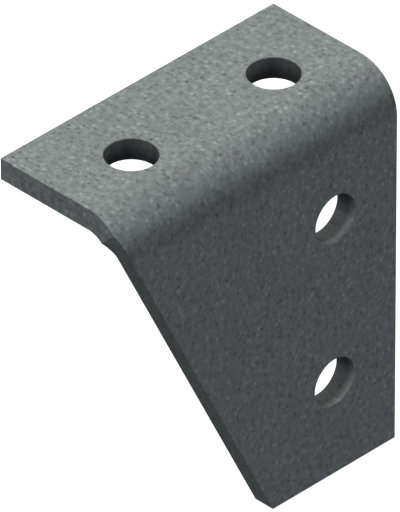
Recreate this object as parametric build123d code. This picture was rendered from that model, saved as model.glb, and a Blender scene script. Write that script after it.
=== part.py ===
from build123d import *
import math
import os

# Strut angle fitting: a flat steel blank, punched, cut to a taper and folded once to a right angle.
# Sizes are in millimetres. The origin is midway between the flange's two bolt holes, on the
# flange's upper face. +X points out through the leg's outer face, +Y runs along the fold towards
# the square end, and +Z points up.

# Plate
THICKNESS = 6.0
INSIDE_RADIUS = 6.0  # of the fold
NEUTRAL_SHARE = 0.33  # depth of the layer that the fold doesn't stretch, as a share of thickness
FOLD_LENGTH = 90.0  # along the fold, from the tapered end to the square end
FLANGE_DEPTH = 41.0  # from the free edge to the leg's outer face, one strut width
LEG_HEIGHT = 105.0  # from the flange's upper face down to the foot
FOOT_WIDTH = 41.0  # what the taper leaves of the leg at its foot, one strut width
EDGE_RADIUS = 0.15  # the zinc coat rounds the outline's cut edges

# Bolt holes, for M12
HOLE_DIAMETER = 13.0
RIM_CHAMFER = 0.15
FLANGE_HOLE_PITCH = 47.0
LEG_HOLE_PITCH = 47.0
FREE_EDGE_TO_HOLES = 20.5  # on the flange
SQUARE_END_TO_HOLES = 20.5  # on the flange and on the leg
TOP_TO_LEG_HOLE = 31.5  # from the flange's upper face down to the leg's upper hole

OVERCUT = 5.0  # how far a cutting shape runs past the plate
CLEAR_CORNER = 45.0  # degrees between two faces, from which their edge is a corner of the cut

# Where these sizes put the plate's edges and the axis of the fold
free_edge_x = -FREE_EDGE_TO_HOLES
leg_face_x = free_edge_x + FLANGE_DEPTH
square_end_y = FLANGE_HOLE_PITCH / 2 + SQUARE_END_TO_HOLES
tapered_end_y = square_end_y - FOLD_LENGTH
outside_radius = INSIDE_RADIUS + THICKNESS
fold_x = leg_face_x - outside_radius
fold_z = -outside_radius


def folded_plate():
    """The angle before it is cut: its section, run along the fold from end to end."""
    outer_corner = (leg_face_x, 0)
    inner_corner = (leg_face_x - THICKNESS, -THICKNESS)
    outline = Polyline(
        (free_edge_x, 0),
        outer_corner,
        (leg_face_x, -LEG_HEIGHT),
        (leg_face_x - THICKNESS, -LEG_HEIGHT),
        inner_corner,
        (free_edge_x, -THICKNESS),
        close=True,
    )
    section = make_face(outline)
    section = fillet(section.vertices().sort_by_distance(outer_corner)[0], outside_radius)
    section = fillet(section.vertices().sort_by_distance(inner_corner)[0], INSIDE_RADIUS)
    end = Plane(origin=(0, tapered_end_y, 0), x_dir=(1, 0, 0), z_dir=(0, -1, 0))
    return extrude(end * section, FOLD_LENGTH, dir=(0, 1, 0))


def bolt_holes():
    """The flange's two holes, in line along the fold, and the leg's two, one above the other."""
    punch = Cylinder(HOLE_DIAMETER / 2, THICKNESS + 2 * OVERCUT)
    holes = []
    for side in (-1, 1):
        holes.append(Pos(0, side * FLANGE_HOLE_PITCH / 2, -THICKNESS / 2) * punch)
    for z in (-TOP_TO_LEG_HOLE, -TOP_TO_LEG_HOLE - LEG_HOLE_PITCH):
        centre = Pos(leg_face_x - THICKNESS / 2, square_end_y - SQUARE_END_TO_HOLES, z)
        holes.append(centre * Rot(0, 90, 0) * punch)
    return holes


def taper_cut():
    """What the slanting cut takes away, in two pieces, one at the fold and one down the leg.

    In the flat blank it is one straight cut, square to the sheet, from the middle of the fold to
    the foot. Folding winds its first stretch into a helix about the fold's axis, while every line
    through the thickness still points at that axis."""
    half_fold = math.radians(45)
    neutral_radius = INSIDE_RADIUS + NEUTRAL_SHARE * THICKNESS
    flat_run = half_fold * neutral_radius + LEG_HEIGHT - outside_radius
    slope = (FOLD_LENGTH - FOOT_WIDTH) / flat_run
    rise_per_radian = slope * neutral_radius
    past_end_y = tapered_end_y - OVERCUT

    # The winding starts a little before the middle of the fold, where it is still off the plate
    lead_in = math.radians(15)
    start_angle = half_fold - lead_in
    start_y = tapered_end_y - lead_in * rise_per_radian
    leg_start_y = tapered_end_y + half_fold * rise_per_radian
    start = Plane(
        origin=(fold_x, start_y, fold_z),
        x_dir=(math.sin(start_angle), 0, math.cos(start_angle)),
        z_dir=(0, 1, 0),
    )
    full_turn = 2 * math.pi * rise_per_radian
    inner_edge = start * Helix(full_turn, leg_start_y - start_y, INSIDE_RADIUS / 2)
    outer_edge = start * Helix(full_turn, leg_start_y - start_y, outside_radius + OVERCUT)
    ramp = Face.make_surface_from_curves(inner_edge.edge(), outer_edge.edge())
    at_fold = extrude(ramp, leg_start_y - past_end_y, dir=(0, -1, 0))

    past_foot_z = -LEG_HEIGHT - OVERCUT
    slant_line = Polyline(
        (leg_start_y, fold_z),
        (square_end_y - FOOT_WIDTH + OVERCUT * slope, past_foot_z),
        (past_end_y, past_foot_z),
        (past_end_y, fold_z),
        close=True,
    )
    across_leg = Plane(origin=(fold_x, 0, 0), x_dir=(0, 1, 0), z_dir=(1, 0, 0))
    down_leg = extrude(across_leg * make_face(slant_line), outside_radius + OVERCUT)
    return [at_fold, down_leg]


def is_corner(edge, faces):
    """Whether two faces meet at this edge with a clear corner, unlike where the fold starts."""
    middle = edge @ 0.5
    normals = [face.normal_at(middle) for face in faces if edge in face.edges()]
    return len(normals) == 2 and normals[0].get_angle(normals[1]) > CLEAR_CORNER


plate = folded_plate()
for tool in bolt_holes() + taper_cut():
    plate -= tool
faces = plate.faces()
outline = [edge for edge in plate.edges() if not edge.is_closed and is_corner(edge, faces)]
plate = fillet(outline, EDGE_RADIUS)
rims = [edge for edge in plate.edges() if edge.is_closed]
plate = chamfer(rims, RIM_CHAMFER)

os.makedirs("parts", exist_ok=True)
export_step(plate, "parts/angle_fitting.step")
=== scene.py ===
import math

import bpy
from mathutils import Matrix, Vector


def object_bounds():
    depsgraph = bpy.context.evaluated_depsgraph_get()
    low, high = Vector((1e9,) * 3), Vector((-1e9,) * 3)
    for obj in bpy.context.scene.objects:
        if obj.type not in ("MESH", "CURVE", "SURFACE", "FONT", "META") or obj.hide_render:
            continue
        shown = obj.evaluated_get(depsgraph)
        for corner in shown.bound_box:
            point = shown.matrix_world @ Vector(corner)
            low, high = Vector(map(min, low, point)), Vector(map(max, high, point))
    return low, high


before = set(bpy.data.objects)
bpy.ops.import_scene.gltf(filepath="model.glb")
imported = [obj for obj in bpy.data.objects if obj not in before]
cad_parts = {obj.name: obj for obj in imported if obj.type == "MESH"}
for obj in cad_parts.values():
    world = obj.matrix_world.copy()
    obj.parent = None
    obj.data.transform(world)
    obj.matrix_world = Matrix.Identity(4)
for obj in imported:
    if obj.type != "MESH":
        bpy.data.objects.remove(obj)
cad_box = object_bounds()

# A strut angle fitting in hot-dip galvanised steel, on a plain pale floor. The part's own frame
# holds: +X points out through the leg's outer face, +Y runs along the fold and +Z points up.
# Lengths are in metres, and in millimetres where a name ends in MM. Angles are in degrees. An
# azimuth of 0 is on the -Y side and one of 90 on the +X side.
MM_PER_METRE = 1000.0

# Plate, as it is in the frame
FOLD_X_MM = 8.5  # the fold's own axis
FOLD_Z_MM = -12.0
FOLD_ANGLE = 90.0
OUTSIDE_RADIUS_MM = 12.0
THICKNESS_MM = 6.0
HOLE_RADIUS_MM = 6.5
HALF_PITCH_MM = 23.5  # between a bolt hole and the middle of its pair, on the flange and the leg
LEG_HOLES_Y_MM = 23.5
LEG_HOLES_Z_MM = -55.0  # the middle of the pair

# Zinc. A contrast is a share of its brightness, and a detail is a number of finer layers.
ZINC = (0.389, 0.427, 0.414)
WALL_ZINC = (0.400, 0.427, 0.416)  # slightly greyer, on the hole walls
ZINC_ROUGHNESS = 0.45
WALL_ROUGHNESS = 0.62
ROUGHNESS_SPREAD = -0.05  # the brighter grain is the smoother
SKIN_FACING = (0.75, 0.95)  # cosines of the angle to the skin: a cut edge has less, the skin more
BUMP_HEIGHT = 0.00001

# Specks, in millimetres. The shift keeps the two kinds apart. In X and Z it is a whole number of
# spacings, so that the flange and the leg cut them alike.
BRIGHT_SPECKS = {"spacing": 1.38, "radius": 0.86, "contrast": 0.545, "shift": (0.0, 0.0, 0.0)}
DARK_SPECKS = {"spacing": 1.28, "radius": 0.73, "contrast": -0.495, "shift": (30.72, 7.0, 12.8)}
SPECK_POWER = 1.5  # a higher one leaves more of them faint
CLUMP_MM = 7.0  # of the patches in which the specks are stronger
CLUMP_CONTRAST = 1.0

GRAIN_MM = 1.6
GRAIN_CONTRAST = 1.36
GRAIN_DETAIL = 3.0
GRAIN_ROUGHNESS = 0.75  # how strong the finer layers are
MOTTLE_MM = 14.0
MOTTLE_CONTRAST = 0.12
MOTTLE_DETAIL = 2.0
STREAK_MM = 1.1  # across the streaks that run through the plate's thickness
STREAK_CONTRAST = 0.30
STREAK_DETAIL = 1.0
FLECK_STRETCH = (1.055, 0.95, 1.055)  # more along the plate's profile than along the fold
FLECK_ORIGIN_MM = (20.5, 0.0, 0.0)  # where the two outer faces would meet
LEG_FLECK = 0.82  # how strong the specks and grain are on the leg, as a share of the flange's
EDGE_FLECK = 0.95  # on the cut edges, as a share of the skin's
WALL_FLECK = 0.6  # on the hole walls, as a share of the cut edges'

# The punched walls are painted with shade, as shares of the skin's tone: one at the rim and one
# deep down, darker deeper in the recess. A pair in millimetres says where a change of tone starts
# and ends.
FLANGE_WALLS = {"rim": 0.68, "deep": 0.215, "between": (0.6, 5.4)}
FAR_PAINTED_LIGHT = 1.48  # painted light, on the flange, on a hole's side that is away from the leg, which the leg shades
FAR_MM = (4.8, 6.6)
# painted shade deep in the leg's holes, and a painted highlight at their rims, lighter than the skin
LEG_WALLS = {"rim": 1.15, "deep": 0.41, "between": (-0.6, 2.6)}
CROWN_PAINTED_SHADE = 0.57  # painted shade, on the leg, of a hole's upper side, which faces down
CROWN_MM = (-2.0, 3.0)
PAINTED_LIGHT_POOL = 1.75  # painted light on the lower side of the leg's upper hole, which the flange above shades
PAINTED_LIGHT_POOL_UNDER_MM = (1.5, 4.5)
PAINTED_LIGHT_POOL_ALONG_MM = (-5.0, 2.0)
PAINTED_LIGHT_POOL_DEPTH_MM = (0.0, 1.2)
WALL_REACH_MM = 0.8  # past the hole's radius, to take in the rim's chamfer

# Photograph's view
IMAGE_WIDTH = 400  # pixels
IMAGE_HEIGHT = 512
VIEW_AZIMUTH = 45.0
VIEW_ELEVATION = 35.264  # the isometric view
HALF_ANGLE = 0.62  # of the view's width: a long lens, because the photograph has no perspective
VIEW_WIDTH = 0.09389  # what the image's width takes in at the object's middle
AIM_RIGHT = 0.00007  # from the object's middle to the image's middle
AIM_UP = 0.01013
SENSOR_WIDTH = 36.0  # millimetres, along the image's long side
CLIP_START = 0.1
CLIP_END = 10.0

# Studio light: broad soft lights on a dome, over an even light. Each soft light has its azimuth,
# elevation, strength and colour.
EVEN_LIGHT = 0.029
LIGHT_FOCUS = 6.0  # a larger number makes each soft light narrower
WHITE = (1.0, 1.0, 1.0)
COOL = (0.98, 1.0, 1.06)
SKY = (0.94, 1.0, 1.2)
FROM_FLOOR = (0.93, 0.945, 1.09)
SOFT_LIGHTS = {
    "high_left": (-80, 46, 0.80, WHITE),
    "high_right": (143, 51, 0.31, WHITE),
    "back": (-165, 36, 0.46, WHITE),
    "back_left": (-112, 24, 0.37, WHITE),
    "right": (110, 28, 0.12, SKY),
    "front": (-7, 2, 0.72, COOL),
    "near": (45, 28, 0.45, COOL),
    "floor_back": (-157, -46, 0.08, FROM_FLOOR),
    "floor_right": (118, -58, 0.26, FROM_FLOOR),
    "floor_left": (-40, -28, 0.025, WHITE),
}

# Floor
FLOOR_RADIUS = 0.9
FLOOR_CORNERS = 96
FLOOR_GAP = 0.00002  # under the foot, to keep the two faces apart
FLOOR_CHALK = (0.8, 0.8, 0.8)
FLOOR_GLOW = 0.88  # with the light on it, the floor is white where nothing shades it


def towards(azimuth, elevation):
    """Unit vector from the object's middle towards a place on the dome."""
    turn, rise = math.radians(azimuth), math.radians(elevation)
    return Vector((math.sin(turn) * math.cos(rise), -math.cos(turn) * math.cos(rise), math.sin(rise)))


def connect(tree, sockets, values):
    """Sets inputs. A value is a number, a colour, a vector or another node's output."""
    for name, value in values.items():
        if isinstance(value, bpy.types.NodeSocket):
            tree.links.new(value, sockets[name])
        else:
            sockets[name].default_value = value


def add_node(tree, kind, inputs=None, **settings):
    """A new node, with its settings and then its inputs."""
    made = tree.nodes.new(kind)
    for name, value in settings.items():
        setattr(made, name, value)
    connect(tree, made.inputs, inputs or {})
    return made


def calc(tree, operation, *values):
    """Result of a Math node."""
    made = add_node(tree, "ShaderNodeMath", dict(enumerate(values)), operation=operation)
    return made.outputs["Value"]


def vector_calc(tree, operation, *values):
    """Result of a Vector Math node, as a vector."""
    made = add_node(tree, "ShaderNodeVectorMath", dict(enumerate(values)), operation=operation)
    return made.outputs["Vector"]


def vector_number(tree, operation, *values):
    """Result of a Vector Math node, as a number: a length or a dot product."""
    made = add_node(tree, "ShaderNodeVectorMath", dict(enumerate(values)), operation=operation)
    return made.outputs["Value"]


def scale(tree, vector, number):
    """A vector or a colour times a number."""
    made = add_node(tree, "ShaderNodeVectorMath", {0: vector, "Scale": number}, operation="SCALE")
    return made.outputs["Vector"]


def combine(tree, x, y, z):
    """A vector of three numbers."""
    return add_node(tree, "ShaderNodeCombineXYZ", {"X": x, "Y": y, "Z": z}).outputs["Vector"]


def separate(tree, vector):
    """The three numbers of a vector."""
    return add_node(tree, "ShaderNodeSeparateXYZ", {"Vector": vector}).outputs


def step(tree, value, low, high):
    """A smooth step from 0 at low to 1 at high."""
    made = add_node(
        tree,
        "ShaderNodeMapRange",
        {"Value": value, "From Min": low, "From Max": high},
        interpolation_type="SMOOTHSTEP",
    )
    return made.outputs["Result"]


def blend(tree, share, low, high):
    """From the number low at a share of 0 to the number high at 1."""
    return calc(tree, "MULTIPLY_ADD", share, high - low, low)


def mix(tree, share, low, high):
    """The same between the outputs of two nodes."""
    return calc(tree, "MULTIPLY_ADD", calc(tree, "SUBTRACT", high, low), share, low)


def noise(tree, place, size, detail=0.0, roughness=0.5):
    """Noise about 0, from -0.5 to 0.5, with patches of about that size."""
    made = add_node(
        tree,
        "ShaderNodeTexNoise",
        {"Vector": place, "Scale": 1 / size, "Detail": detail, "Roughness": roughness},
    )
    return calc(tree, "SUBTRACT", made.outputs["Fac"], 0.5)


def specks(tree, place, spacing, radius, contrast, shift):
    """Round specks, most of them faint and a few as strong as the contrast."""
    shifted = vector_calc(tree, "ADD", place, shift)
    made = add_node(tree, "ShaderNodeTexVoronoi", {"Vector": shifted, "Scale": 1 / spacing})
    spot = step(tree, made.outputs["Distance"], radius / spacing, 0.0)
    own = separate(tree, made.outputs["Color"])["X"]
    strength = calc(tree, "MULTIPLY", calc(tree, "POWER", own, SPECK_POWER), contrast)
    return calc(tree, "MULTIPLY", spot, strength)


def empty_tree(owner):
    """Turns on the nodes of a material or world and returns its node tree with nothing in it."""
    owner.use_nodes = True
    owner.node_tree.nodes.clear()
    return owner.node_tree


class Place:
    """Where a point of the plate lies, for the materials, in millimetres.

    x, y and z are its place in the frame, and fleck is that place as the zinc's pattern takes it.
    turn is its angle round the fold, from 0 on the flange to 90 degrees on the leg. along runs down
    the plate's profile, as it lay on the flat blank, and is 0 where the fold starts. depth is
    measured under the outer skin. skin is 1 on the two skins, and 0 on the cut edges and the hole
    walls."""

    def __init__(self, tree):
        spot = add_node(tree, "ShaderNodeTexCoord")
        place = scale(tree, spot.outputs["Object"], MM_PER_METRE)
        self.x, self.y, self.z = separate(tree, place)
        from_origin = vector_calc(tree, "SUBTRACT", place, FLECK_ORIGIN_MM)
        self.fleck = vector_calc(tree, "DIVIDE", from_origin, FLECK_STRETCH)

        past_x = calc(tree, "SUBTRACT", self.x, FOLD_X_MM)
        past_z = calc(tree, "SUBTRACT", self.z, FOLD_Z_MM)
        out_x = calc(tree, "MAXIMUM", past_x, 0.0)
        out_z = calc(tree, "MAXIMUM", past_z, 0.0)
        turn = calc(tree, "ARCTAN2", out_x, out_z)
        self.turn = calc(tree, "DEGREES", turn)

        bent = calc(tree, "MULTIPLY", turn, OUTSIDE_RADIUS_MM - THICKNESS_MM / 2)
        flange = calc(tree, "MINIMUM", past_x, 0.0)
        leg = calc(tree, "MINIMUM", past_z, 0.0)
        self.along = calc(tree, "SUBTRACT", calc(tree, "ADD", flange, bent), leg)

        outwards = combine(tree, out_x, 0.0, out_z)
        self.depth = calc(tree, "SUBTRACT", OUTSIDE_RADIUS_MM, vector_number(tree, "LENGTH", outwards))
        across = vector_calc(tree, "NORMALIZE", outwards)
        facing = vector_number(tree, "DOT_PRODUCT", spot.outputs["Normal"], across)
        self.skin = step(tree, calc(tree, "ABSOLUTE", facing), *SKIN_FACING)


def painted_wall_shading(tree, depth, rim, deep, between):
    """Painted shade and light on a punched wall, by its depth under the outer skin: the rim's tone near
    the rim, the deep tone further in.
    """
    return blend(tree, step(tree, depth, *between), rim, deep)


def flange_wall_painted_shading(tree, depth, x):
    """Painted shade and light on the walls of the flange's two holes, with x from the hole's middle."""
    tone = painted_wall_shading(tree, depth, **FLANGE_WALLS)
    # painted light on the side away from the leg
    far = step(tree, calc(tree, "MULTIPLY", x, -1.0), *FAR_MM)
    return calc(tree, "MULTIPLY", tone, blend(tree, far, 1.0, FAR_PAINTED_LIGHT))


def leg_wall_painted_shading(tree, depth, y, above, upper):
    """Painted shade and light on the walls of the leg's two holes, with y and above from the hole's
    middle, and upper 1 in the upper one.
    """
    tone = painted_wall_shading(tree, depth, **LEG_WALLS)
    # painted shade on the hole's upper side
    crown = step(tree, above, *CROWN_MM)
    tone = calc(tree, "MULTIPLY", tone, blend(tree, crown, 1.0, CROWN_PAINTED_SHADE))
    # painted light where the flange shades the upper hole's lower side
    light_pool = step(tree, calc(tree, "MULTIPLY", above, -1.0), *PAINTED_LIGHT_POOL_UNDER_MM)
    light_pool = calc(tree, "MULTIPLY", light_pool, step(tree, y, *PAINTED_LIGHT_POOL_ALONG_MM))
    light_pool = calc(tree, "MULTIPLY", light_pool, step(tree, depth, *PAINTED_LIGHT_POOL_DEPTH_MM))
    light_pool = calc(tree, "MULTIPLY", light_pool, upper)
    return calc(tree, "MULTIPLY", tone, blend(tree, light_pool, 1.0, PAINTED_LIGHT_POOL))


def hole_wall(tree, place):
    """A mask that is 1 on the walls of the bolt holes and 0 off them, and the walls' painted shade and
    light.
    """
    flange_y = calc(tree, "SUBTRACT", calc(tree, "ABSOLUTE", place.y), HALF_PITCH_MM)
    from_flange_hole = vector_number(tree, "LENGTH", combine(tree, place.x, flange_y, 0.0))

    upper = calc(tree, "GREATER_THAN", place.z, LEG_HOLES_Z_MM)
    hole_z = blend(tree, upper, LEG_HOLES_Z_MM - HALF_PITCH_MM, LEG_HOLES_Z_MM + HALF_PITCH_MM)
    above = calc(tree, "SUBTRACT", place.z, hole_z)
    leg_y = calc(tree, "SUBTRACT", place.y, LEG_HOLES_Y_MM)
    from_leg_hole = vector_number(tree, "LENGTH", combine(tree, 0.0, leg_y, above))

    past_flange = calc(tree, "GREATER_THAN", place.along, 0.0)
    from_hole = mix(tree, past_flange, from_flange_hole, from_leg_hole)
    near = calc(tree, "LESS_THAN", from_hole, HOLE_RADIUS_MM + WALL_REACH_MM)
    mask = calc(tree, "MULTIPLY", near, calc(tree, "SUBTRACT", 1.0, place.skin))
    on_flange = flange_wall_painted_shading(tree, place.depth, place.x)
    on_leg = leg_wall_painted_shading(tree, place.depth, leg_y, above, upper)
    return mask, mix(tree, past_flange, on_flange, on_leg)


def fine_fleck(tree, place, wall):
    """The specks and the grain together, from dark below 0 to bright above it, and the grain alone."""
    bright = specks(tree, place.fleck, **BRIGHT_SPECKS)
    dark = specks(tree, place.fleck, **DARK_SPECKS)
    clump = noise(tree, place.fleck, CLUMP_MM)
    clump = calc(tree, "MULTIPLY_ADD", clump, CLUMP_CONTRAST, 1.0)
    grain = noise(tree, place.fleck, GRAIN_MM, GRAIN_DETAIL, GRAIN_ROUGHNESS)
    fleck = calc(tree, "MULTIPLY", grain, GRAIN_CONTRAST)
    fleck = calc(tree, "MULTIPLY_ADD", calc(tree, "ADD", bright, dark), clump, fleck)
    round_fold = step(tree, place.turn, 0.0, FOLD_ANGLE)
    fleck = calc(tree, "MULTIPLY", fleck, blend(tree, place.skin, EDGE_FLECK, 1.0))
    fleck = calc(tree, "MULTIPLY", fleck, blend(tree, round_fold, 1.0, LEG_FLECK))
    fleck = calc(tree, "MULTIPLY", fleck, blend(tree, wall, 1.0, WALL_FLECK))
    return fleck, grain


def cut_streaks(tree, place):
    """Faint streaks through the plate's thickness, which the two skins don't have."""
    through = combine(tree, place.along, place.y, 0.0)
    streak = noise(tree, through, STREAK_MM, STREAK_DETAIL)
    streak = calc(tree, "MULTIPLY", streak, STREAK_CONTRAST)
    return calc(tree, "MULTIPLY", streak, calc(tree, "SUBTRACT", 1.0, place.skin))


def galvanised_steel():
    """Matt grey zinc, finely specked, with faint streaks on the cut edges, and painted shade and light
    on the walls of the punched holes.
    """
    material = bpy.data.materials.new("galvanised_steel")
    tree = empty_tree(material)
    place = Place(tree)
    # punched is the painted shade and light of the hole walls
    wall, punched = hole_wall(tree, place)
    fleck, grain = fine_fleck(tree, place, wall)

    mottle = noise(tree, place.fleck, MOTTLE_MM, MOTTLE_DETAIL)
    tone = calc(tree, "MULTIPLY_ADD", mottle, MOTTLE_CONTRAST, 1.0)
    tone = calc(tree, "ADD", calc(tree, "ADD", tone, fleck), cut_streaks(tree, place))
    # the hole walls' painted shade and light, and 1 off them
    punched = calc(tree, "MULTIPLY_ADD", wall, calc(tree, "SUBTRACT", punched, 1.0), 1.0)
    tone = calc(tree, "MULTIPLY", tone, punched)
    greyer = scale(tree, Vector(WALL_ZINC) - Vector(ZINC), wall)
    zinc = vector_calc(tree, "ADD", greyer, ZINC)
    roughness = calc(tree, "MULTIPLY_ADD", grain, ROUGHNESS_SPREAD, ZINC_ROUGHNESS)
    roughness = calc(tree, "MULTIPLY_ADD", wall, WALL_ROUGHNESS - ZINC_ROUGHNESS, roughness)
    bump = add_node(tree, "ShaderNodeBump", {"Height": fleck, "Distance": BUMP_HEIGHT, "Strength": 1.0})

    surface = add_node(
        tree,
        "ShaderNodeBsdfPrincipled",
        {
            "Base Color": scale(tree, zinc, tone),
            "Metallic": 1.0,
            "Roughness": roughness,
            "Normal": bump.outputs["Normal"],
        },
    )
    add_node(tree, "ShaderNodeOutputMaterial", {"Surface": surface.outputs["BSDF"]})
    return material


def floor_white():
    """The floor's surface, which only a shadow takes below white."""
    material = bpy.data.materials.new("floor_white")
    tree = empty_tree(material)
    glow = add_node(tree, "ShaderNodeEmission", {"Color": (*WHITE, 1.0), "Strength": FLOOR_GLOW})
    chalk = add_node(tree, "ShaderNodeBsdfDiffuse", {"Color": (*FLOOR_CHALK, 1.0)})
    parts = {0: glow.outputs["Emission"], 1: chalk.outputs["BSDF"]}
    both = add_node(tree, "ShaderNodeAddShader", parts)
    add_node(tree, "ShaderNodeOutputMaterial", {"Surface": both.outputs["Shader"]})
    return material


def make_floor():
    """A round floor under the foot. It isn't seen in the zinc and doesn't shade the dome."""
    level = cad_box[0].z - FLOOR_GAP
    rim = []
    for i in range(FLOOR_CORNERS):
        turn = 2 * math.pi * i / FLOOR_CORNERS
        rim.append((FLOOR_RADIUS * math.cos(turn), FLOOR_RADIUS * math.sin(turn), level))
    mesh = bpy.data.meshes.new("floor")
    mesh.from_pydata(rim, [], [range(FLOOR_CORNERS)])
    mesh.materials.append(floor_white())
    floor = bpy.data.objects.new("floor", mesh)
    bpy.context.scene.collection.objects.link(floor)
    floor.visible_diffuse = False
    floor.visible_glossy = False
    floor.visible_shadow = False


def make_studio():
    """A white backdrop to look at, and the dome of soft lights that lights the object."""
    world = bpy.data.worlds.new("studio")
    bpy.context.scene.world = world
    tree = empty_tree(world)
    direction = add_node(tree, "ShaderNodeTexCoord").outputs["Generated"]
    light = (EVEN_LIGHT, EVEN_LIGHT, EVEN_LIGHT)
    for azimuth, elevation, strength, colour in SOFT_LIGHTS.values():
        facing = vector_number(tree, "DOT_PRODUCT", direction, towards(azimuth, elevation))
        away = calc(tree, "MULTIPLY_ADD", facing, LIGHT_FOCUS, -LIGHT_FOCUS)
        lobe = scale(tree, Vector(colour) * strength, calc(tree, "EXPONENT", away))
        light = vector_calc(tree, "ADD", light, lobe)
    dome = add_node(tree, "ShaderNodeBackground", {"Color": light, "Strength": 1.0})
    backdrop = add_node(tree, "ShaderNodeBackground", {"Color": (*WHITE, 1.0), "Strength": 1.0})
    seen = add_node(tree, "ShaderNodeLightPath").outputs["Is Camera Ray"]
    parts = {"Fac": seen, 1: dome.outputs["Background"], 2: backdrop.outputs["Background"]}
    both = add_node(tree, "ShaderNodeMixShader", parts)
    add_node(tree, "ShaderNodeOutputWorld", {"Surface": both.outputs["Shader"]})


def make_camera():
    """A camera at the photograph's viewing angle, far off behind its long lens."""
    turn = math.radians(VIEW_AZIMUTH)
    right = Vector((math.cos(turn), math.sin(turn), 0))
    back = towards(VIEW_AZIMUTH, VIEW_ELEVATION)
    up = back.cross(right)
    half_width = math.tan(math.radians(HALF_ANGLE))
    data = bpy.data.cameras.new("camera")
    data.sensor_width = SENSOR_WIDTH
    data.lens = SENSOR_WIDTH / 2 / (half_width * IMAGE_HEIGHT / IMAGE_WIDTH)
    data.clip_start = CLIP_START
    data.clip_end = CLIP_END
    camera = bpy.data.objects.new("camera", data)
    middle = (cad_box[0] + cad_box[1]) / 2
    distance = VIEW_WIDTH / 2 / half_width
    place = middle + right * AIM_RIGHT + up * AIM_UP + back * distance
    turned = Matrix((right, up, back)).transposed().to_4x4()
    camera.matrix_world = Matrix.Translation(place) @ turned
    bpy.context.scene.collection.objects.link(camera)
    bpy.context.scene.camera = camera


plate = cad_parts["angle_fitting"]
plate.material_slots[0].material = galvanised_steel()
make_floor()
make_studio()
make_camera()
bpy.context.scene.view_settings.view_transform = "Standard"
